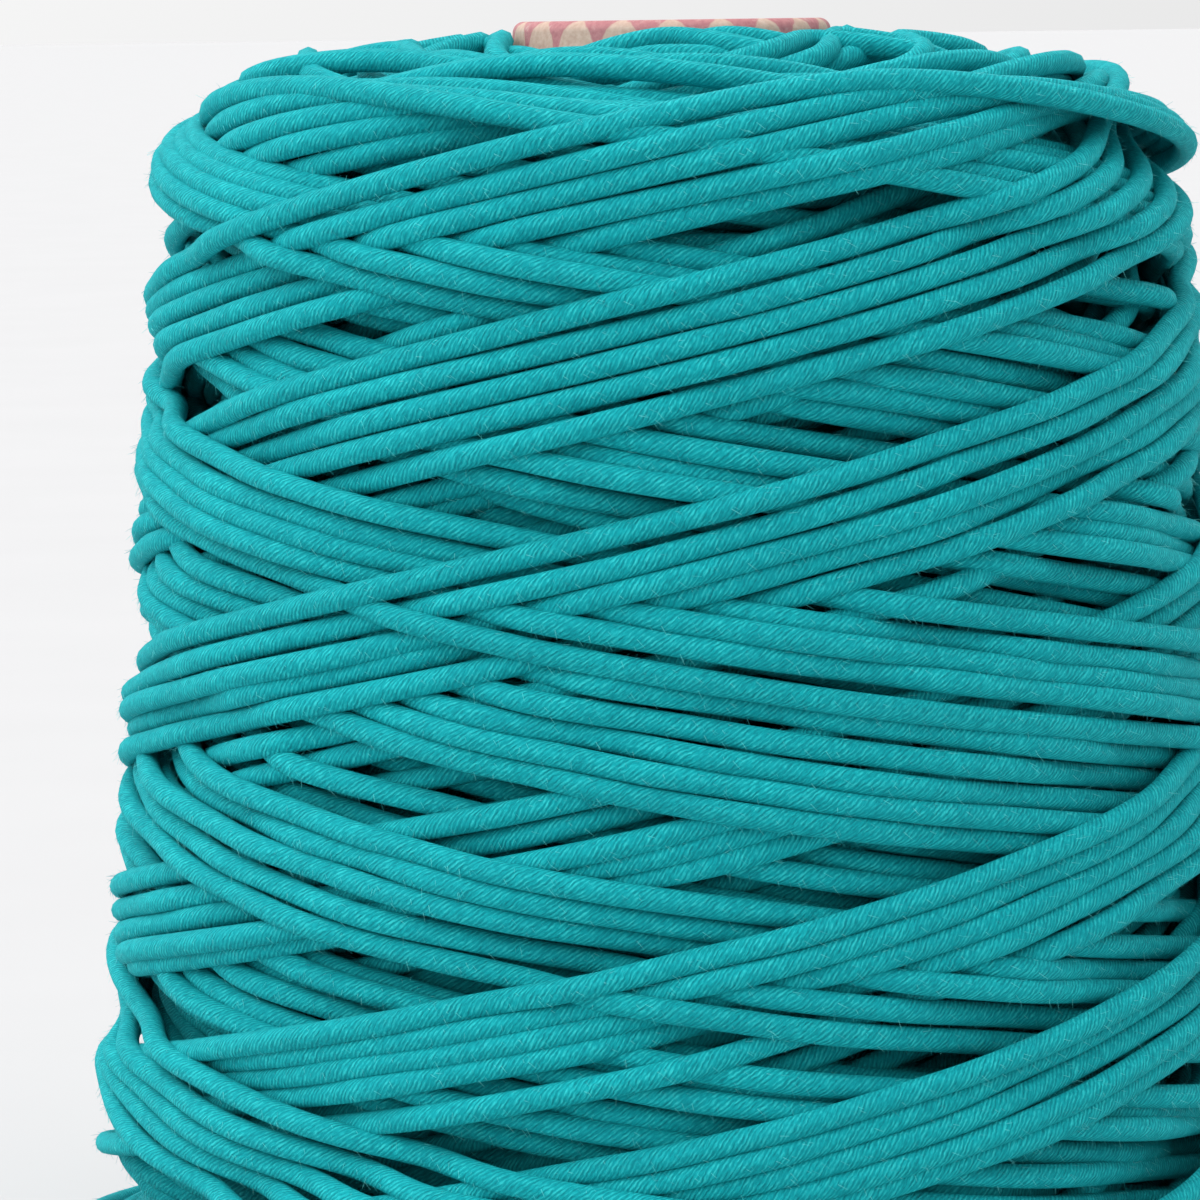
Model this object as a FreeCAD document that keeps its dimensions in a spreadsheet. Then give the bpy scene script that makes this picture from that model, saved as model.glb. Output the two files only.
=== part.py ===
"""A cone of knitting yarn: a rolled paper cone with a printed cover, and the yarn wound on it.

The paper cone stands on its wide end, nose up. Everything is turned about +Z, and the origin is
the centre of the base, where the cone stands. Sizes are in millimetres, and each driving size is
a cell of the sheet "dims". The yarn is one strand, wound in crossing layers parallel to the cone.
"""

import FreeCAD, Part
import math
import os

import Sketcher

LAYERS = 8  # crossing layers of yarn between the cone and the outside of the package
CLOSE = 1e-6

DIMENSIONS = [
    # alias, value, what it is
    ("cone_length", 170.0, "base to nose"),
    ("cone_half_angle", 5.95, "half angle of the taper, 5 degrees 57 minutes"),
    ("nose_diameter", 39.0, "over the cover, where the line of its side meets the nose"),
    ("board_wall", 2.0, "rolled board"),
    ("cover_wall", 0.25, "printed paper"),
    ("cover_setback", 1.0, "bare board left at the base"),
    ("nose_edge", 3.2, "width of the rolled nose, from the cover's side to the opening"),
    ("nose_land", 4.2, "straight length of the nose's opening"),
    ("nose_bead", 2.4, "height over which the rolled edge runs back to the wall"),
    ("nose_round", 1.4, "outside rounding of the nose"),
    ("bore_round", 0.8, "rounding where the nose turns into its opening"),
    ("seat_gap", 0.3, "between the cover and the first layer of yarn"),
    ("yarn_depth_nose", 42.1, "radial depth of the wound yarn, carried on to the nose"),
    ("yarn_depth_base", 39.3, "the same, carried on to the base"),
    ("yarn_from_nose", 1.6, "nose standing above the first layer"),
    ("yarn_from_base", 9.0, "bare cone below the first layer"),
    ("shoulder_drop", 16.5, "how far the package's outside starts below its inside, at the nose"),
    ("heel_rise", 9.0, "how far its outside starts above its inside, at the base"),
    ("end_power", 2.4, "power of the curve that both ends of the package follow"),
]


def make_sheet(doc):
    """The driving dimensions, one alias each."""
    sheet = doc.addObject("Spreadsheet::Sheet", "dims")
    for row, (alias, value, meaning) in enumerate(DIMENSIONS, start=1):
        sheet.set(f"A{row}", alias)
        sheet.set(f"B{row}", str(value))
        sheet.set(f"C{row}", meaning)
        sheet.setAlias(f"B{row}", alias)
    doc.recompute()
    return sheet


# Expressions: heights are above the base, and radii are from the cone's axis.
TAPER = "tan(dims.cone_half_angle * 1 deg)"


def cover_radius(height):
    """Outside of the cover's tapered side at a height."""
    return f"(dims.nose_diameter / 2 + (dims.cone_length - ({height})) * {TAPER})"


def yarn_depth(height):
    """Radial depth of all the yarn at a height."""
    growth = "(dims.yarn_depth_nose - dims.yarn_depth_base) / dims.cone_length"
    return f"(dims.yarn_depth_base + ({height}) * {growth})"


def layer_radius(layers_in, height):
    """The surface that so many layers of yarn reach at a height."""
    share = layers_in / LAYERS
    return f"({cover_radius(height)} + dims.seat_gap + {share} * {yarn_depth(height)})"


def end_curve(layers_in):
    """0 at the inside of the package and 1 at its outside: how far its end has curved away."""
    share = layers_in / LAYERS
    return f"(1 - pow(1 - pow({share}; dims.end_power); 1 / dims.end_power))"


def top_height(layers_in):
    top = "dims.cone_length - dims.yarn_from_nose"
    return f"({top} - dims.shoulder_drop * {end_curve(layers_in)})"


def bottom_height(layers_in):
    return f"(dims.yarn_from_base + dims.heel_rise * {end_curve(layers_in)})"


def origin_plane(body, role):
    return next(f for f in body.Origin.OriginFeatures if f.Role == role)


def turned_body(doc, label, corners):
    """A body turned about Z from a closed outline of (radius, height) expressions."""
    body = doc.addObject("PartDesign::Body", label)
    body.Label = label
    sketch = body.newObject("Sketcher::SketchObject", f"{label}_outline")
    sketch.AttachmentSupport = [(origin_plane(body, "XZ_Plane"), "")]
    sketch.MapMode = "FlatFace"
    # The solver starts from the true places, so that the outline can't fold over.
    places = [FreeCAD.Vector(number_of(doc, r), number_of(doc, z), 0) for r, z in corners]
    count = len(corners)
    for i in range(count):
        sketch.addGeometry(Part.LineSegment(places[i], places[(i + 1) % count]), False)
    for i in range(count):
        sketch.addConstraint(Sketcher.Constraint("Coincident", i, 2, (i + 1) % count, 1))
    for i, (radius, height) in enumerate(corners):
        index = sketch.addConstraint(Sketcher.Constraint("DistanceX", -1, 1, i, 1, places[i].x))
        sketch.setExpression(f"Constraints[{index}]", radius)
        if places[i].y < CLOSE:
            sketch.addConstraint(Sketcher.Constraint("PointOnObject", i, 1, -1))
            continue
        index = sketch.addConstraint(Sketcher.Constraint("DistanceY", -1, 1, i, 1, places[i].y))
        sketch.setExpression(f"Constraints[{index}]", height)
    turned = body.newObject("PartDesign::Revolution", f"{label}_turned")
    turned.Profile = sketch
    turned.ReferenceAxis = (sketch, ["V_Axis"])
    turned.Angle = 360
    doc.recompute()
    return body


def number_of(doc, expression):
    """The value of an expression of the sheet's cells."""
    value = doc.getObject("dims").evalExpression(expression.replace("dims.", ""))
    return float(getattr(value, "Value", value))


def round_edge(doc, body, name, radius_at, height_at, size):
    """Rounds the one circular edge of a body at a given radius and height."""
    base = body.Tip
    wanted = (number_of(doc, radius_at), number_of(doc, height_at))
    edges = [
        f"Edge{i}"
        for i, edge in enumerate(base.Shape.Edges, start=1)
        if isinstance(edge.Curve, Part.Circle)
        and abs(edge.Curve.Radius - wanted[0]) < 1e-4
        and abs(edge.Curve.Center.z - wanted[1]) < 1e-4
    ]
    if len(edges) != 1:
        raise ValueError(f"{body.Label}: {len(edges)} edges at radius and height {wanted}")
    fillet = body.newObject("PartDesign::Fillet", name)
    fillet.Base = (base, edges)
    fillet.setExpression("Radius", size)
    doc.recompute()


NOSE_BORE = "(dims.nose_diameter / 2 - dims.nose_edge)"


def cone_board(doc):
    """The rolled board cone, with its nose rolled in to a straight round opening."""
    top = "(dims.cone_length - dims.cover_wall)"
    land_end = f"({top} - dims.nose_land)"
    bead_end = f"({land_end} - dims.nose_bead)"

    def outside(height):
        return f"({cover_radius(height)} - dims.cover_wall)"

    def inside(height):
        return f"({outside(height)} - dims.board_wall)"

    corners = [
        (inside("0"), "0"),
        (outside("0"), "0"),
        (outside(top), top),
        (NOSE_BORE, top),
        (NOSE_BORE, land_end),
        (inside(bead_end), bead_end),
    ]
    body = turned_body(doc, "cone_board", corners)
    board_round = "dims.nose_round - dims.cover_wall"
    round_edge(doc, body, "nose_outside", outside(top), top, board_round)
    round_edge(doc, body, "nose_inside", NOSE_BORE, top, "dims.bore_round")
    return body


def cone_cover(doc):
    """The printed paper over the board, from just above the base up and over the nose."""
    top = "dims.cone_length"
    under = "(dims.cone_length - dims.cover_wall)"
    lap = f"({NOSE_BORE} + dims.bore_round)"

    def under_cover(height):
        return f"({cover_radius(height)} - dims.cover_wall)"

    corners = [
        (under_cover("dims.cover_setback"), "dims.cover_setback"),
        (cover_radius("dims.cover_setback"), "dims.cover_setback"),
        (cover_radius(top), top),
        (lap, top),
        (lap, under),
        (under_cover(under), under),
    ]
    body = turned_body(doc, "cone_cover", corners)
    inner_round = "dims.nose_round - dims.cover_wall"
    round_edge(doc, body, "cover_outside", cover_radius(top), top, "dims.nose_round")
    round_edge(doc, body, "cover_inside", under_cover(under), under, inner_round)
    return body


def yarn_layer(doc, number):
    """One crossing layer of wound yarn, the space its turns take up between two cones."""
    steps = [number - 1, number - 0.5, number]
    if number == LAYERS:
        steps.insert(2, number - 0.2)  # the outside layer's end curves most
    corners = [(layer_radius(t, bottom_height(t)), bottom_height(t)) for t in steps]
    corners += [(layer_radius(t, top_height(t)), top_height(t)) for t in reversed(steps)]
    return turned_body(doc, f"yarn_layer_{number}", corners)


def check(doc, bodies):
    """Stops the build if anything failed to compute, or if a piece isn't whole solids."""
    for thing in doc.Objects:
        if {"Invalid", "Error"} & set(thing.State):
            raise ValueError(f"{thing.Label} failed: {thing.State}")
    for body in bodies:
        shape = body.Shape
        if shape.isNull() or not shape.isValid() or not shape.Solids:
            raise ValueError(f"{body.Label} isn't a valid solid")


def main():
    doc = FreeCAD.newDocument("yarn_cone")
    make_sheet(doc)
    bodies = [cone_board(doc), cone_cover(doc)]
    bodies += [yarn_layer(doc, number) for number in range(1, LAYERS + 1)]
    doc.recompute()
    check(doc, bodies)
    os.makedirs("parts", exist_ok=True)
    for body in bodies:
        body.Shape.exportStep(os.path.join("parts", f"{body.Label}.step"))
        box = body.Shape.BoundBox
        print(
            f"{body.Label}: {len(body.Shape.Solids)} solid, volume {body.Shape.Volume:.1f},"
            f" radius {box.XMax:.2f}, height {box.ZMin:.2f} to {box.ZMax:.2f}"
        )


main()
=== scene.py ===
import math

import bmesh
import bpy
import numpy as np
from mathutils import Matrix, Vector


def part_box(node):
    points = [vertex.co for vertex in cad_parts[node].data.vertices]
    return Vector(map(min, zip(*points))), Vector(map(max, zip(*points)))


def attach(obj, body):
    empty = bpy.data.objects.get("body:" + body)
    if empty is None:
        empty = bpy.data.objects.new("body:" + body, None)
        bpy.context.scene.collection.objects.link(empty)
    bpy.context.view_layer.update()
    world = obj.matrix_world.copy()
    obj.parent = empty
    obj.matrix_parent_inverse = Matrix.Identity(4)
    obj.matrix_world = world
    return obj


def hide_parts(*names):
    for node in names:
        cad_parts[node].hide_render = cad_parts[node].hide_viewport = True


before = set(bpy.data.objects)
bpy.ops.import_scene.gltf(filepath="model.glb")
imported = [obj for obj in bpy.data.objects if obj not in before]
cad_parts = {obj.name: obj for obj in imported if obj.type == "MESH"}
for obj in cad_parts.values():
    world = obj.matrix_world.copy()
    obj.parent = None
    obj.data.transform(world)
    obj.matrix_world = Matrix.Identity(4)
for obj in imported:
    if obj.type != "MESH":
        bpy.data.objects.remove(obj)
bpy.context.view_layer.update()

# Looks of a cone of knitting yarn: one soft teal strand, cross-wound in eight layers on a printed cone.
# Winding sizes are in millimetres and degrees, as a winder sets them; meshes, lights and camera are in
# metres. The strand is laid pass by pass on a map of the package, so that it rests on, bridges and presses
# into what is already wound.
MM = 0.001

# ---- the paper cone and the package built on it, in millimetres ----------------------------
CONE_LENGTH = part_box("cone_board")[1].z / MM
CONE_HALF_ANGLE = math.radians(5.95)
CONE_TAPER = math.tan(CONE_HALF_ANGLE)
NOSE_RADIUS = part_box("cone_cover")[1].x / MM - CONE_LENGTH * CONE_TAPER
SEAT_GAP = 0.3
YARN_DEPTH_NOSE = 42.1
YARN_DEPTH_BASE = 39.3
YARN_FROM_NOSE = 1.6
YARN_FROM_BASE = 9.0
SHOULDER_DROP = 16.5
HEEL_RISE = 9.0
END_POWER = 2.7  # higher makes the shoulder and the heel squarer

# ---- the strand ----------------------------------------------------------------------------
STRAND_RADIUS = 1.43
PRESSED_RADIUS = 1.25  # what a crossing strand feels
SUPPORT_RADIUS = 1.1
SINK = 0.35
TAUTNESS = 0.55  # 1 would bridge every hollow in a straight line, 0 would follow it
STRAND_PITCH = 2.9

# ---- the winding ---------------------------------------------------------------------------
LAYERS = 8
HALF_PASSES_PER_LAYER = 28
INNER_PASSES = 92
INNER_FILL = 0.9  # share of the yarn's depth that they fill, under the outer ribbons
RISE_TURNS = 1.65
FALL_TURNS = 1.95
TURN_CHOICES = np.linspace(-0.25, 0.25, 11)
REVERSAL_CHOICES = (0.0, 2.0, 4.0, 7.0, 10.0, 14.0, 18.0)
TOP_CLEARANCE = 0.4
BLEND_FROM = 0.3  # share of a half pass after which it leaves the line of its first corner
BLEND_OVER = 0.4
TOP_ROUNDING = 8.0
BOTTOM_ROUNDING = 6.0
RISE_PER_DEGREE = 0.27
FALL_PER_DEGREE = 0.21
RIBBON_CYCLES = 5
TOP_PEAKS = (11.0, 10.0, 9.0, 8.0, 7.0)
BOTTOM_PEAKS = (147.0, 149.0, 150.5, 152.0, 153.5)
WANDER = 0.22
WANDER_SPAN = 40  # degrees
STRAND_OFFSET = 0.22
# How far a draw evens out what is wound: degrees, map rows and rounds of smoothing.
DRAW_REACH = (6, 5, 12)
LAST_REACH = (4, 3, 7)
LEAST_BUILD = 0.5
LAST_EASE_DEGREES = 15
RELIEF = 0.8  # how proud of the plan the strands may stand
PASSES_BETWEEN_DRAWS = 14
LEAST_DRAW = 0.6  # the least and the most by which a draw scales the depth of yarn
MOST_FILL = 1.2
MAP_STEP = 0.5
MAP_ROWS = 360
CHORD_SPANS = (28, 14, 7, 4, 2, 1)
EASE_DEGREES = 9
CORNER_EASE_DEGREES = 30
END_EASE_DEGREES = (31, 21)
SHOULDER_REACH = 24.0
HEEL_REACH = 26.0
END_FADE = 12.0

WINDING_SEED = 4
rng = np.random.default_rng(WINDING_SEED)


def cone_radius(depth):
    """Radius of the bare cone, at a depth below its nose."""
    return NOSE_RADIUS + SEAT_GAP + np.asarray(depth) * CONE_TAPER


def end_curve(share):
    """Profile of the shoulder and the heel: 0 at the cone, 1 at the outside."""
    return 1 - (1 - np.clip(share, 0, 1) ** END_POWER) ** (1 / END_POWER)


def top_reversal(share):
    """How far below the nose a pass turns back, once that share of the yarn is wound."""
    return YARN_FROM_NOSE + SHOULDER_DROP * end_curve(share)


def bottom_reversal(share):
    """The same near the base, measured from the nose too."""
    return CONE_LENGTH - YARN_FROM_BASE - HEEL_RISE * end_curve(share)


def planned_radius(depth, share):
    """Radius that the package should have at a depth, once that share of the yarn is wound."""
    shares = np.linspace(0, 1, 200)
    from_top = np.interp(depth, top_reversal(shares), shares)
    from_bottom = np.interp(CONE_LENGTH - depth, CONE_LENGTH - bottom_reversal(shares), shares)
    full = YARN_DEPTH_BASE + (YARN_DEPTH_NOSE - YARN_DEPTH_BASE) * (CONE_LENGTH - depth) / CONE_LENGTH
    return cone_radius(depth) + np.minimum(share, np.minimum(from_top, from_bottom)) * full


def near_ends(depth):
    """1 over the shoulder and the heel, 0 along the side."""
    depth = np.asarray(depth)
    shoulder = (SHOULDER_REACH - depth) / END_FADE
    heel = (depth - CONE_LENGTH + HEEL_REACH) / END_FADE
    return np.clip(np.maximum(shoulder, heel), 0, 1)


def eased(values, degrees):
    """Values along a strand, averaged over some degrees of it."""
    weights = np.hanning(degrees + 2)[1:-1]
    return np.convolve(np.pad(values, degrees // 2, mode="edge"), weights / weights.sum(), "valid")


class Package:
    """Outer radius of what is wound so far, for each degree round the cone and each map row down it."""

    def __init__(self):
        self.depths = np.arange(MAP_ROWS) * MAP_STEP
        self.radius = np.tile(cone_radius(self.depths), (360, 1))

    def rows(self, depth):
        """Map rows nearest to some depths."""
        return np.clip(np.round(depth / MAP_STEP).astype(int), 0, MAP_ROWS - 1)

    def support(self, degree, depth):
        """Centre radius at which a strand touches the yarn under it."""
        best = np.zeros(len(depth))
        for offset in np.arange(-SUPPORT_RADIUS, SUPPORT_RADIUS + 1e-6, SUPPORT_RADIUS / 4):
            lift = math.sqrt(max(SUPPORT_RADIUS**2 - offset**2, 0))
            best = np.maximum(best, self.radius[degree, self.rows(depth + offset)] + lift)
        return best

    def stamp(self, degree, depth, centre):
        """Adds a laid strand to the map."""
        for offset in np.arange(-PRESSED_RADIUS, PRESSED_RADIUS + 1e-6, PRESSED_RADIUS / 5):
            lift = math.sqrt(max(PRESSED_RADIUS**2 - offset**2, 0))
            np.maximum.at(self.radius, (degree, self.rows(depth + offset)), centre + lift)

    def lay(self, angle, depth):
        """Lays one half pass, taut over hollows and pressed at crossings, and returns its centre radius."""
        degree = np.round(angle).astype(int) % 360
        touch = self.support(degree, depth)
        centre = touch.copy()
        for _ in range(3):
            for span in CHORD_SPANS:
                a = centre[: -2 * span]
                b = centre[2 * span :]
                chord = 2 * a * b * math.cos(math.radians(span)) / (a + b)
                centre[span:-span] = np.maximum(centre[span:-span], chord)
        at_end = near_ends(depth)
        centre = touch + (TAUTNESS + (1 - TAUTNESS) * at_end) * (centre - touch)
        centre = np.maximum(eased(centre, EASE_DEGREES), touch - SINK)
        centre = centre + at_end * (eased(centre, END_EASE_DEGREES[0]) - centre)
        self.stamp(degree, depth, centre)
        return centre


def wander(count):
    """Slow sideways drift of the guide along a run of so many degrees."""
    knots = int(count / WANDER_SPAN) + 3
    return np.interp(np.linspace(0, knots - 1.001, count), np.arange(knots), rng.normal(0, WANDER, knots))


def half_pass(start, end):
    """Angles and depths of a straight run between two corners (angle, depth, rounding), rounded at both."""
    angle = np.arange(round(start[0]), round(end[0]) + 1).astype(float)
    rising = 1 if end[1] < start[1] else -1
    slope = abs(start[1] - end[1]) / (end[0] - start[0])
    from_start = start[1] - rising * np.hypot(slope * (angle - start[0]), start[2])
    from_end = end[1] + rising * np.hypot(slope * (end[0] - angle), end[2])
    share = np.clip(((angle - start[0]) / (end[0] - start[0]) - BLEND_FROM) / BLEND_OVER, 0, 1)
    share = share * share * (3 - 2 * share)
    return angle, from_start * (1 - share) + from_end * share


def meeting(rise_depth, rise_angle, fall_depth, fall_angle):
    """Corner where a rising line meets a falling one, each given by a point that it passes."""
    across = rise_depth - fall_depth + RISE_PER_DEGREE * rise_angle + FALL_PER_DEGREE * fall_angle
    angle = across / (RISE_PER_DEGREE + FALL_PER_DEGREE)
    return angle, fall_depth + FALL_PER_DEGREE * (angle - fall_angle)


# Each outer ribbon: depth where it passes the front as it rises, and as it falls; the turn on which it falls
# the front; turns until the next ribbon rises past it; and when its two runs are laid among the others.
RIBBONS = (
    {"rise": 14.0, "fall": 66.5, "fall_turn": 1, "next": 3, "rise_laid": 30.5, "fall_laid": 50.0},
    {"rise": 90.0, "fall": 81.0, "fall_turn": 2, "next": 4, "rise_laid": 10.0, "fall_laid": 20.0},
    {"rise": 61.0, "fall": 29.0, "fall_turn": 1, "next": 4, "rise_laid": 50.5, "fall_laid": 30.0},
    {"rise": 35.0, "fall": 49.0, "fall_turn": 1, "next": 4, "rise_laid": 40.0, "fall_laid": 0.0},
)


def ribbon_passes():
    """Corners and laying order of the outer half passes, from the first bottom corner on."""
    order = [(cycle, ribbon) for cycle in range(-1, RIBBON_CYCLES) for ribbon in RIBBONS]
    front = 0.0
    corners, laid = [], []
    for (cycle, ribbon), (next_cycle, following) in zip(order, order[1:] + [(RIBBON_CYCLES, RIBBONS[0])]):
        step = STRAND_PITCH * (cycle - (RIBBON_CYCLES - 1) / 2)
        next_step = STRAND_PITCH * (next_cycle - (RIBBON_CYCLES - 1) / 2)
        fall_front = front + 360 * ribbon["fall_turn"]
        angle, depth = meeting(ribbon["rise"] - step, front, ribbon["fall"] + step, fall_front)
        corners.append((angle, depth, TOP_PEAKS[cycle] - depth))
        front += 360 * ribbon["next"]
        angle, depth = meeting(following["rise"] - next_step, front, ribbon["fall"] + step, fall_front)
        corners.append((angle, depth, depth - BOTTOM_PEAKS[cycle]))
        laid += [ribbon["rise_laid"] + cycle, ribbon["fall_laid"] + cycle]
    skip = 2 * len(RIBBONS)
    return corners[skip - 1 :], laid[skip:]


def roomiest(package, start, rising, share):
    """Of the runs that the guide could make from a corner, the end of the one with most room under it."""
    best = None
    for turns in TURN_CHOICES + (RISE_TURNS if rising else FALL_TURNS):
        angle = start[0] + turns * 360
        for inward in REVERSAL_CHOICES:
            if rising:
                highest = top_reversal(share) + TOP_CLEARANCE + inward
                end = (angle, highest - TOP_ROUNDING, TOP_ROUNDING)
            else:
                lowest = bottom_reversal(share) - STRAND_RADIUS - inward
                end = (angle, lowest + BOTTOM_ROUNDING, BOTTOM_ROUNDING)
            angles, depths = half_pass(start, end)
            degree = np.round(angles).astype(int) % 360
            excess = package.radius[degree, package.rows(depths)] - planned_radius(depths, share)
            crowding = np.mean(excess * np.abs(excess))
            if best is None or crowding < best[0]:
                best = (crowding, end)
    return best[1]


def lay_run(package, start, end):
    """Lays one half pass between two corners and returns its angles, depths and centre radii."""
    angle, depth = half_pass(start, end)
    from_ends = np.minimum(np.arange(len(angle)), np.arange(len(angle))[::-1])
    drift = wander(len(angle)) + rng.normal(0, STRAND_OFFSET)
    depth = depth + drift * np.minimum(1, from_ends / WANDER_SPAN)
    return [angle, depth, package.lay(angle, depth)]


def wind():
    """The whole strand as half passes of (angle, depth, centre radius), in the order it runs."""
    package = Package()
    corner = (0.0, float(bottom_reversal(0)) + BOTTOM_ROUNDING, BOTTOM_ROUNDING)
    runs = []
    outer, laid = ribbon_passes()
    for index in range(2 * INNER_PASSES):
        share = INNER_FILL * (index + 1) / (2 * INNER_PASSES)
        end = roomiest(package, corner, index % 2 == 0, share)
        if index == 2 * INNER_PASSES - 1:
            end = (end[0] + (outer[0][0] - end[0] + 180) % 360 - 180, outer[0][1], outer[0][2])
        runs.append(lay_run(package, corner, end))
        corner = end
        if (index + 1) % PASSES_BETWEEN_DRAWS == 0:
            draw_in(runs, package, share)
    turned = corner[0] - outer[0][0]
    outer = [(angle + turned, depth, rounding) for angle, depth, rounding in outer]
    outer_runs = [None] * len(laid)
    for index in np.argsort(laid, kind="stable"):
        outer_runs[index] = lay_run(package, outer[index], outer[index + 1])
    runs += outer_runs
    join_corners(runs)
    draw_in(runs, package, 1.0)
    draw_in(runs, package, 1.0, LAST_REACH)
    ease_ends(runs)
    for run in runs:
        run[2][1:-1] = eased(run[2], LAST_EASE_DEGREES)[1:-1]
    return runs


def highest_near(build, degrees, rows):
    """The most build-up within some degrees and rows of each place."""
    for shift in range(-degrees, degrees + 1, 2):
        build = np.maximum(build, np.roll(build, shift, 0))
    padded = np.pad(build, ((0, 0), (rows, rows)), mode="edge")
    count = build.shape[1]
    return np.max([padded[:, shift : shift + count] for shift in range(2 * rows + 1)], axis=0)


def draw_in(runs, package, share, reach=DRAW_REACH):
    """Presses what is wound to its planned shape, as the strand's own pull does."""
    core = cone_radius(package.depths)
    plan = planned_radius(package.depths, share) - core + RELIEF
    degrees, rows, rounds = reach
    build = highest_near(package.radius - core, degrees, rows)
    for _ in range(rounds):
        build = (np.roll(build, 3, 0) + build + np.roll(build, -3, 0)) / 3
        padded = np.pad(build, ((0, 0), (2, 2)), mode="edge")
        build = (padded[:, :-4] + build + padded[:, 4:]) / 3
    factor = np.clip(plan / np.maximum(build, LEAST_BUILD), LEAST_DRAW, MOST_FILL)
    for run in runs:
        degree = np.round(run[0]).astype(int) % 360
        bare = cone_radius(run[1]) + STRAND_RADIUS
        run[2] = bare + np.maximum(run[2] - bare, 0) * factor[degree, package.rows(run[1])]
    package.radius = core + (package.radius - core) * factor


def ease_ends(runs):
    """Takes the kinks out of the strand where it goes over the shoulder and the heel."""
    for before, after in zip(runs, runs[1:]):
        seam = (before[2][-1] + after[2][0]) / 2
        before[2][-1] = seam
        after[2][0] = seam
    whole = np.concatenate([run[2][:-1] for run in runs] + [runs[-1][2][-1:]])
    depth = np.concatenate([run[1][:-1] for run in runs] + [runs[-1][1][-1:]])
    at_end = near_ends(depth)
    for degrees in END_EASE_DEGREES:
        whole = whole + at_end * (eased(whole, degrees) - whole)
    whole = np.maximum(whole, cone_radius(depth) + STRAND_RADIUS)
    start = 0
    for run in runs:
        count = len(run[2])
        run[2] = whole[start : start + count]
        start += count - 1


def join_corners(runs):
    """Brings the two runs that share a corner to one radius there."""
    ease = 0.5 + 0.5 * np.cos(np.linspace(0, math.pi, CORNER_EASE_DEGREES))
    for before, after in zip(runs, runs[1:]):
        radius = (before[2][-1] + after[2][0]) / 2
        before[2][-CORNER_EASE_DEGREES:] += (radius - before[2][-1]) * ease[::-1]
        after[2][:CORNER_EASE_DEGREES] += (radius - after[2][0]) * ease


def strand_points(runs, step):
    """Points of consecutive half passes, in metres, every few degrees."""
    angle = np.concatenate([runs[0][0][:1]] + [run[0][1:] for run in runs])
    depth = np.concatenate([runs[0][1][:1]] + [run[1][1:] for run in runs])
    radius = np.concatenate([runs[0][2][:1]] + [run[2][1:] for run in runs])
    at = np.linspace(angle[0], angle[-1], int((angle[-1] - angle[0]) / step) + 1)
    radius = np.interp(at, angle, radius) * MM
    depth = np.interp(at, angle, depth)
    turn = np.radians(at)
    return np.column_stack([radius * np.sin(turn), -radius * np.cos(turn), (CONE_LENGTH - depth) * MM])


def strand_mesh(name, points, resolution, travelled):
    """A tube along the points, with a UV of turn round the strand and metres along it."""
    curve = bpy.data.curves.new(name, "CURVE")
    curve.dimensions = "3D"
    curve.twist_mode = "Z_UP"
    curve.bevel_depth = STRAND_RADIUS * MM
    curve.bevel_resolution = resolution
    curve.use_fill_caps = True
    spline = curve.splines.new("POLY")
    spline.points.add(len(points) - 1)
    spline.points.foreach_set("co", np.column_stack([points, np.ones(len(points))]).ravel())
    guide = bpy.data.objects.new(name + "_guide", curve)
    bpy.context.scene.collection.objects.link(guide)
    mesh = bpy.data.meshes.new_from_object(guide.evaluated_get(bpy.context.evaluated_depsgraph_get()))
    bpy.data.objects.remove(guide)
    mesh.name = name
    along = travelled + np.concatenate([[0], np.cumsum(np.linalg.norm(np.diff(points, axis=0), axis=1))])
    write_strand_uv(mesh, len(points), 4 + 2 * resolution, along)
    mesh.shade_smooth()
    piece = bpy.data.objects.new(name, mesh)
    bpy.context.scene.collection.objects.link(piece)
    return piece, along[-1]


def write_strand_uv(mesh, rings, sides, along):
    """UV named strand: share of a turn round the tube, and metres along it, without a wrap in any face."""
    corner_vertex = np.zeros(len(mesh.loops), np.int32)
    mesh.loops.foreach_get("vertex_index", corner_vertex)
    face_corners = np.zeros(len(mesh.polygons), np.int32)
    mesh.polygons.foreach_get("loop_total", face_corners)
    face_of = np.repeat(np.arange(len(face_corners)), face_corners)
    on_wall = corner_vertex < rings * sides
    side = np.where(on_wall, corner_vertex % sides, 0).astype(float)
    ring = np.where(on_wall, corner_vertex // sides, 0)
    low = np.full(len(face_corners), float(sides))
    high = np.zeros(len(face_corners))
    np.minimum.at(low, face_of, side)
    np.maximum.at(high, face_of, side)
    closing = ((high - low) > sides / 2)[face_of] & (side == 0) & on_wall
    side[closing] = sides
    for layer in list(mesh.uv_layers):
        mesh.uv_layers.remove(layer)
    layer = mesh.uv_layers.new(name="strand")
    values = np.column_stack([side / sides, along[ring]]).astype(np.float32)
    layer.uv.foreach_set("vector", values.ravel())


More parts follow.
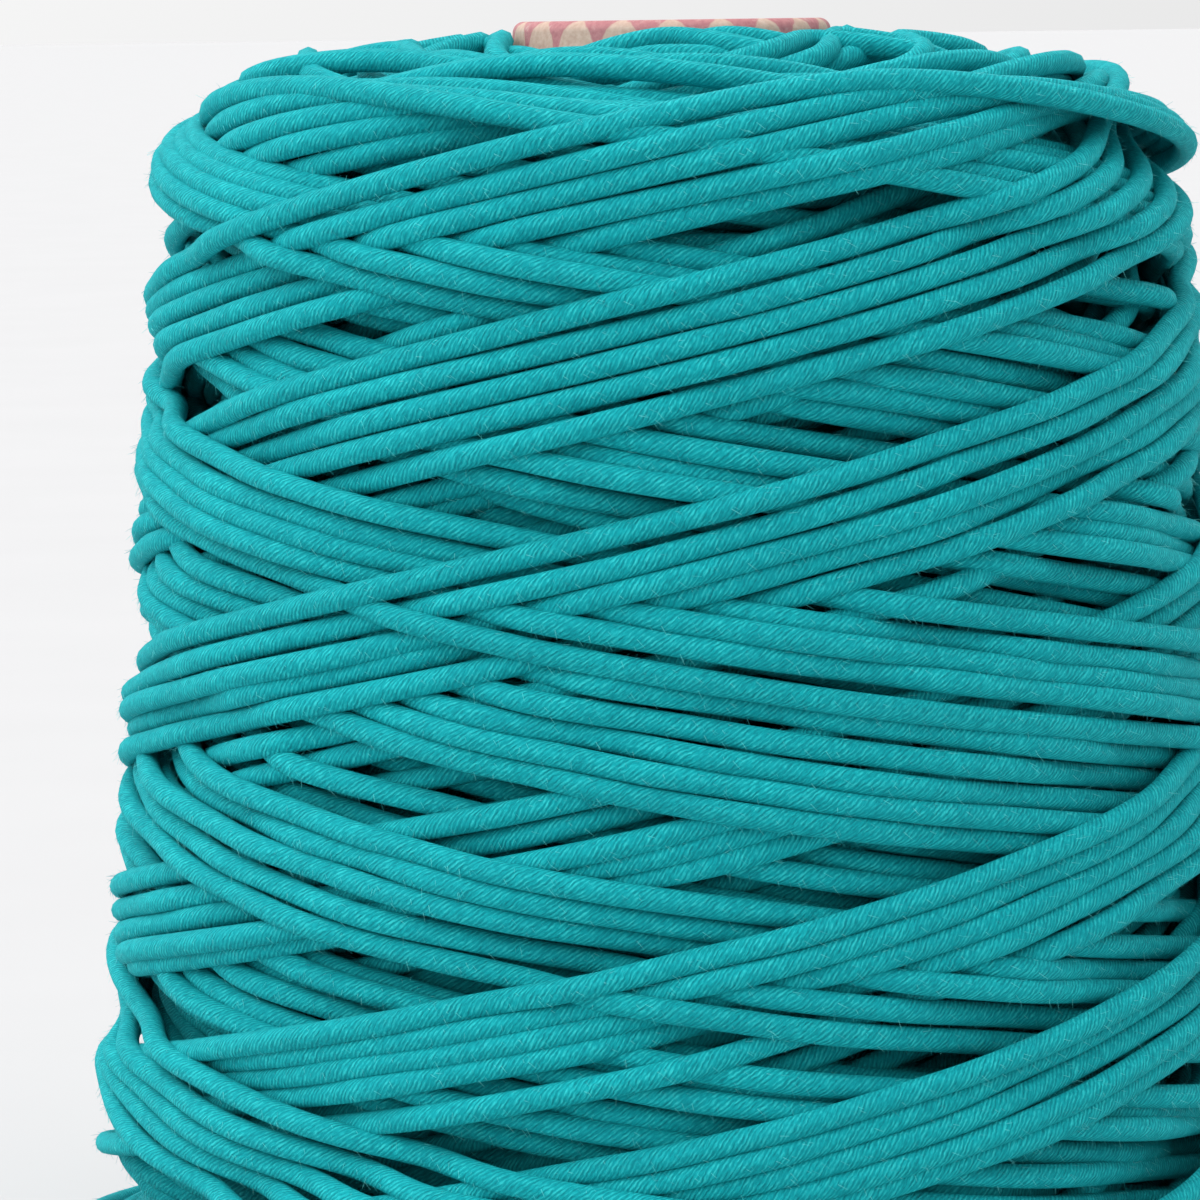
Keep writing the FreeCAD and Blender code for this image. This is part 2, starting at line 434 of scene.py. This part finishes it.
# ---- materials -----------------------------------------------------------------------------
class Nodes:
    """Short way to add and wire shader nodes."""

    def __init__(self, name):
        self.material = bpy.data.materials.new(name)
        self.material.use_nodes = True
        self.tree = self.material.node_tree
        self.shader = self.tree.nodes["Principled BSDF"]

    def put(self, socket, value):
        if isinstance(value, bpy.types.NodeSocket):
            self.tree.links.new(value, socket)
        elif value is not None:
            socket.default_value = value

    def add(self, kind, *inputs, **settings):
        made = self.tree.nodes.new(kind)
        for key, value in settings.items():
            setattr(made, key, value)
        for socket, value in zip(made.inputs, inputs):
            self.put(socket, value)
        return made

    def math(self, operation, *inputs):
        return self.add("ShaderNodeMath", *inputs, operation=operation).outputs[0]

    def noise(self, where, scale, detail=2.0, roughness=0.5):
        made = self.add("ShaderNodeTexNoise")
        self.put(made.inputs["Vector"], where)
        self.put(made.inputs["Scale"], scale)
        self.put(made.inputs["Detail"], detail)
        self.put(made.inputs["Roughness"], roughness)
        return made.outputs["Fac"]

    def blend(self, share, first, second):
        made = self.add("ShaderNodeMix", data_type="RGBA")
        self.put(made.inputs["Factor"], share)
        self.put(made.inputs["A"], first)
        self.put(made.inputs["B"], second)
        return made.outputs["Result"]

    def spread(self, value, low, high, to_low=0.0, to_high=1.0):
        return self.add("ShaderNodeMapRange", value, low, high, to_low, to_high).outputs[0]

    def bump(self, height, distance, strength=1.0):
        made = self.add("ShaderNodeBump")
        self.put(made.inputs["Strength"], strength)
        self.put(made.inputs["Distance"], distance)
        self.put(made.inputs["Height"], height)
        return made.outputs["Normal"]

    def set(self, **values):
        for name, value in values.items():
            self.put(self.shader.inputs[name.replace("_", " ")], value)


def linear(red, green, blue):
    """A colour from its display values, 0 to 255."""
    shares = (red / 255, green / 255, blue / 255)
    bent = (((share + 0.055) / 1.055) ** 2.4 if share > 0.04 else share / 12.92 for share in shares)
    return (*bent, 1.0)


TWIST_ADVANCE = 8.0 * MM
TWIST_RIDGES = 12.0
TWIST_WOBBLE = 0.05  # of a turn
TWIST_STRAY = 0.012
FIBRES_ROUND = 5.5
FIBRE_STREAK = 0.75 * MM
YARN_BUMP = 0.15 * MM


def yarn_material():
    """Soft spun yarn: slanting ridges of the twist, loose fibres along them, and a light fuzz. Its colour
    carries painted shade in the grooves of the twist and painted highlights on its crests.
    """
    n = Nodes("teal_yarn")
    uv = n.add("ShaderNodeUVMap", uv_map="strand").outputs[0]
    parts = n.add("ShaderNodeSeparateXYZ", uv)
    around, along = parts.outputs[0], parts.outputs[1]
    place = n.add("ShaderNodeTexCoord").outputs["Object"]
    lean = n.spread(n.noise(place, 330.0, 2.0), 0.0, 1.0, -TWIST_WOBBLE, TWIST_WOBBLE)
    stray = n.spread(n.noise(place, 1500.0, 1.0), 0.2, 0.8, -TWIST_STRAY, TWIST_STRAY)
    lean = n.math("ADD", lean, stray)
    helix = n.math("ADD", n.math("ADD", around, n.math("DIVIDE", along, TWIST_ADVANCE)), lean)
    turn = n.math("MULTIPLY", helix, math.tau)
    ridge = n.math("SINE", n.math("MULTIPLY", turn, TWIST_RIDGES))
    ridge = n.spread(ridge, -1.0, 1.0)
    fibre_place = n.add(
        "ShaderNodeCombineXYZ",
        n.math("MULTIPLY", n.math("COSINE", turn), FIBRES_ROUND),
        n.math("MULTIPLY", n.math("SINE", turn), FIBRES_ROUND),
        n.math("DIVIDE", along, FIBRE_STREAK),
    ).outputs[0]
    fibre = n.noise(fibre_place, 1.0, 3.0, 0.7)
    lumps = n.noise(place, 190.0, 2.0)
    broken = n.spread(n.noise(place, 1100.0, 2.0), 0.35, 0.65, 0.2, 0.45)
    height = n.math("ADD", n.math("MULTIPLY", ridge, broken), n.math("MULTIPLY", fibre, 1.4))
    # Painted shade and painted highlight: where the twist and fibre height is low the colour goes to deep
    # teal, and where it is high to pale teal.
    deep = linear(0, 122, 132)
    plain = linear(0, 170, 178)
    light = linear(52, 212, 215)
    low = n.spread(height, 0.5, 0.9)
    high = n.spread(height, 0.9, 1.25)
    colour = n.blend(high, n.blend(low, deep, plain), light)
    shade = n.spread(lumps, 0.3, 0.7, 0.0, 0.3)
    colour = n.blend(shade, colour, linear(0, 136, 148))
    swell = n.math("ADD", height, n.math("MULTIPLY", lumps, 2.5))
    n.set(
        Base_Color=colour,
        Normal=n.bump(swell, YARN_BUMP),
        Roughness=n.spread(height, 0.3, 1.3, 0.95, 0.7),
        Specular_IOR_Level=0.2,
        Sheen_Weight=0.22,
        Sheen_Roughness=0.5,
        Sheen_Tint=linear(20, 225, 230),
    )
    return n.material


FIBRE_PALING = 0.2


def fibre_material(tone, colour):
    """Loose fibre ends in one tone of the yarn's colour, paler and duller in patches."""
    n = Nodes("loose_fibre_" + tone)
    place = n.add("ShaderNodeTexCoord").outputs["Object"]
    patch = n.spread(n.noise(place, 700.0, 2.0), 0.3, 0.7)
    paler = tuple(value + (255 - value) * FIBRE_PALING for value in colour)
    n.set(
        Base_Color=n.blend(patch, linear(*colour), linear(*paler)),
        Roughness=n.spread(patch, 0.0, 1.0, 0.7, 0.9),
        Specular_IOR_Level=0.2,
        Sheen_Weight=0.2,
    )
    return n.material


def board_material():
    """Grey-brown cone board with pulp flecks and a spiral-wound grain."""
    n = Nodes("cone_board_pulp")
    place = n.add("ShaderNodeTexCoord").outputs["Object"]
    stretched = n.add("ShaderNodeMapping")
    n.put(stretched.inputs["Vector"], place)
    n.put(stretched.inputs["Scale"], (1.0, 1.0, 0.35))
    pulp = n.noise(stretched.outputs[0], 900.0, 4.0, 0.65)
    cloud = n.noise(place, 60.0, 3.0)
    fleck = n.spread(n.noise(place, 2600.0, 2.0), 0.66, 0.74)
    colour = n.blend(n.spread(pulp, 0.3, 0.7), linear(139, 122, 101), linear(171, 153, 128))
    colour = n.blend(n.spread(cloud, 0.35, 0.7, 0.0, 0.35), colour, linear(150, 138, 120))
    colour = n.blend(n.math("MULTIPLY", fleck, 0.6), colour, linear(104, 86, 66))
    n.set(
        Base_Color=colour,
        Normal=n.bump(pulp, 0.06 * MM),
        Roughness=n.spread(pulp, 0.2, 0.8, 0.8, 0.95),
        Specular_IOR_Level=0.3,
    )
    return n.material


PRINT_COLUMNS = 20
PRINT_ROW = 6.2 * MM
PRINT_START = 0.6 * MM  # above the nose
PEAK_SIDES = (1.7, 3.4)  # power and steepness of a peak's flanks
PEAK_CROWN = 3.0


def cover_material():
    """Dusty red printed paper with rows of beige rounded peaks, offset by half in each row."""
    n = Nodes("printed_cover_paper")
    place = n.add("ShaderNodeTexCoord").outputs["Object"]
    parts = n.add("ShaderNodeSeparateXYZ", place)
    x, y, z = parts.outputs
    rows = n.math("DIVIDE", n.math("SUBTRACT", z, CONE_LENGTH * MM + PRINT_START), PRINT_ROW)
    row = n.math("FLOOR", rows)
    up = n.math("SUBTRACT", rows, row)
    turn = n.math("DIVIDE", n.math("ARCTAN2", x, n.math("MULTIPLY", y, -1.0)), math.tau)
    columns = n.math("ADD", n.math("MULTIPLY", turn, float(PRINT_COLUMNS)), n.math("MULTIPLY", row, 0.5))
    side = n.math("ABSOLUTE", n.math("SUBTRACT", n.math("FRACT", columns), 0.5))
    flank = n.math("MULTIPLY", n.math("POWER", side, PEAK_SIDES[0]), PEAK_SIDES[1])
    edge = n.math("ADD", flank, n.math("POWER", up, PEAK_CROWN))
    speck = n.noise(place, 1500.0, 3.0, 0.6)
    edge = n.math("ADD", edge, n.spread(speck, 0.3, 0.7, -0.06, 0.06))
    peak = n.spread(edge, 0.84, 0.92, 1.0, 0.0)
    red = n.blend(n.spread(speck, 0.3, 0.7), linear(170, 106, 112), linear(190, 131, 133))
    beige = n.blend(n.spread(speck, 0.3, 0.7), linear(188, 156, 140), linear(206, 180, 164))
    worn = n.spread(n.noise(place, 420.0, 4.0, 0.7), 0.56, 0.7, 0.0, 0.45)
    colour = n.blend(worn, n.blend(peak, red, beige), linear(214, 196, 184))
    n.set(
        Base_Color=colour,
        Normal=n.bump(speck, 0.03 * MM),
        Roughness=n.spread(speck, 0.2, 0.8, 0.62, 0.8),
        Specular_IOR_Level=0.35,
    )
    return n.material


def floor_material():
    """Pale matt table top with a faint cloudiness."""
    n = Nodes("pale_table")
    place = n.add("ShaderNodeTexCoord").outputs["Object"]
    grain = n.noise(place, 14.0, 3.0)
    n.set(
        Base_Color=n.blend(grain, linear(196, 196, 197), linear(201, 201, 202)),
        Roughness=n.spread(grain, 0.3, 0.7, 0.85, 0.95),
        Specular_IOR_Level=0.1,
    )
    return n.material


# ---- the pieces ----------------------------------------------------------------------------
INNER_STEP = 3.0
INNER_RESOLUTION = 2
OUTER_STEP = 2.0
OUTER_RESOLUTION = 4
OUTER_LAYERS = 2


def build_yarn(runs, material):
    """Each layer is a length of the one strand; the outer layers are finer and in two lengths each."""
    travelled = 0.0
    for layer in range(LAYERS):
        first = layer * HALF_PASSES_PER_LAYER
        lengths = 2 if layer >= LAYERS - OUTER_LAYERS else 1
        count = HALF_PASSES_PER_LAYER // lengths
        for part in range(lengths):
            start = first + part * count
            name = f"strand_layer_{layer + 1}" + ("ab"[part] if lengths > 1 else "")
            step = OUTER_STEP if lengths > 1 else INNER_STEP
            resolution = OUTER_RESOLUTION if lengths > 1 else INNER_RESOLUTION
            points = strand_points(runs[start : start + count], step)
            piece, travelled = strand_mesh(name, points, resolution, travelled)
            piece.data.materials.append(material)
            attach(piece, "yarn_package")
            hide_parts(f"yarn_layer_{layer + 1}")


FIBRE_TONES = {"deep": (12, 160, 170), "plain": (40, 188, 194), "light": (84, 222, 222)}
FIBRES_EACH = 16000
FIBRE_RADIUS = 0.024 * MM
FIBRE_LENGTH = (0.5 * MM, 1.4 * MM)
FIBRE_TAPER = (1.0, 0.4)  # radius at its root and at its tip
FIBRE_ROOT = (STRAND_RADIUS - 0.05) * MM
FIBRE_ALONG = 0.6
FIBRE_WRAP = 0.6
FIBRE_STRAY = 0.2
FIBRE_LIFT = (0.1, 0.7)
FIBRE_SPREAD = 0.9  # radians round the strand
FUZZ_LAYERS = 2


def normalised(vectors):
    return vectors / np.linalg.norm(vectors, axis=1, keepdims=True)


def fibre_paths(points, count):
    """Root and tip of loose fibre ends that stand out of a strand along its twist."""
    at = rng.integers(1, len(points) - 2, count)
    along = normalised(points[at + 1] - points[at])
    side = normalised(np.cross(along, points[at] * (1, 1, 0)))
    outward = normalised(np.cross(side, along))
    lean = rng.normal(0, FIBRE_SPREAD, (count, 1))
    out = outward * np.cos(lean) + side * np.sin(lean)
    wrap = np.cross(along, out)
    way = out * rng.uniform(*FIBRE_LIFT, (count, 1)) + along * FIBRE_ALONG + wrap * FIBRE_WRAP
    way = way + rng.normal(0, FIBRE_STRAY, (count, 3))
    slip = (points[at + 1] - points[at]) * rng.uniform(0, 1, (count, 1))
    root = points[at] + slip + out * FIBRE_ROOT
    tip = root + normalised(way) * rng.uniform(*FIBRE_LENGTH, (count, 1))
    return np.stack([root, tip], axis=1)


def build_fuzz(runs):
    """Short loose fibres on the outside of the outer layers, one piece for each tone."""
    points = strand_points(runs[-FUZZ_LAYERS * HALF_PASSES_PER_LAYER :], 1.0)
    for tone, colour in FIBRE_TONES.items():
        name = "loose_fibres_" + tone
        curve = bpy.data.curves.new(name, "CURVE")
        curve.dimensions = "3D"
        curve.bevel_depth = FIBRE_RADIUS
        curve.bevel_resolution = 0
        curve.use_fill_caps = True
        for path in fibre_paths(points, FIBRES_EACH):
            spline = curve.splines.new("POLY")
            spline.points.add(len(path) - 1)
            spline.points.foreach_set("co", np.column_stack([path, np.ones(len(path))]).ravel())
            spline.points.foreach_set("radius", FIBRE_TAPER)
        guide = bpy.data.objects.new(name + "_guide", curve)
        bpy.context.scene.collection.objects.link(guide)
        mesh = bpy.data.meshes.new_from_object(guide.evaluated_get(bpy.context.evaluated_depsgraph_get()))
        bpy.data.objects.remove(guide)
        mesh.name = name
        mesh.materials.append(fibre_material(tone, colour))
        piece = bpy.data.objects.new(name, mesh)
        bpy.context.scene.collection.objects.link(piece)
        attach(piece, "yarn_package")


def dress(node, material):
    """Gives a CAD node its material."""
    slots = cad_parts[node].material_slots
    if slots:
        slots[0].material = material
    else:
        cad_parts[node].data.materials.append(material)


# ---- the set -------------------------------------------------------------------------------
TABLE_RADIUS = 60.0


def build_floor():
    """A pale table, wide enough to reach the horizon."""
    mesh = bpy.data.meshes.new("table")
    shape = bmesh.new()
    bmesh.ops.create_circle(shape, cap_ends=True, radius=TABLE_RADIUS, segments=96)
    shape.to_mesh(mesh)
    shape.free()
    floor = bpy.data.objects.new("table", mesh)
    bpy.context.scene.collection.objects.link(floor)
    floor.data.materials.append(floor_material())


ROOM_LEVEL = 0.86
ROOM_LEAN = (-0.38, 0.0, 0.5)
WINDOW_FROM = (-0.55, -0.2, 1.0)
WINDOW_STRENGTH = 1.42
WINDOW_SPREAD = math.radians(70)


def build_lights():
    """A bright even room, lighter overhead and to the left, and one broad soft window."""
    world = bpy.data.worlds.new("soft_room")
    bpy.context.scene.world = world
    world.use_nodes = True
    tree = world.node_tree
    background = tree.nodes["Background"]
    toward = tree.nodes.new("ShaderNodeTexCoord")
    lean = tree.nodes.new("ShaderNodeVectorMath")
    lean.operation = "DOT_PRODUCT"
    lean.inputs[1].default_value = ROOM_LEAN
    tree.links.new(toward.outputs["Generated"], lean.inputs[0])
    level = tree.nodes.new("ShaderNodeMath")
    level.operation = "ADD"
    level.inputs[1].default_value = ROOM_LEVEL
    tree.links.new(lean.outputs["Value"], level.inputs[0])
    tree.links.new(level.outputs[0], background.inputs["Strength"])
    background.inputs["Color"].default_value = (1.0, 1.0, 1.0, 1.0)
    data = bpy.data.lights.new("broad_window", "SUN")
    data.energy = WINDOW_STRENGTH
    data.angle = WINDOW_SPREAD
    window = bpy.data.objects.new("broad_window", data)
    window.rotation_euler = (-Vector(WINDOW_FROM)).to_track_quat("-Z", "Y").to_euler()
    bpy.context.scene.collection.objects.link(window)


CAMERA_DISTANCE = 0.62
CAMERA_LENS = 149.73
CAMERA_PITCH = math.radians(6.61)
CAMERA_ROLL = math.radians(-0.8)
AXIS_RIGHT_OF_CENTRE = 0.0663


def build_camera():
    """Level with the nose of the cone, looking slightly down at its upper two thirds."""
    data = bpy.data.cameras.new("camera")
    data.sensor_width = 36.0
    data.lens = CAMERA_LENS
    data.shift_x = -AXIS_RIGHT_OF_CENTRE
    data.clip_start = 0.01
    data.clip_end = 200.0
    camera = bpy.data.objects.new("camera", data)
    tilt = Matrix.Rotation(math.pi / 2 - CAMERA_PITCH, 4, "X") @ Matrix.Rotation(CAMERA_ROLL, 4, "Z")
    camera.matrix_world = Matrix.Translation((0, -CAMERA_DISTANCE, CONE_LENGTH * MM)) @ tilt
    bpy.context.scene.collection.objects.link(camera)
    bpy.context.scene.camera = camera


wound = wind()
build_yarn(wound, yarn_material())
build_fuzz(wound)
dress("cone_board", board_material())
dress("cone_cover", cover_material())
build_floor()
build_lights()
build_camera()
bpy.context.scene.view_settings.view_transform = "Standard"
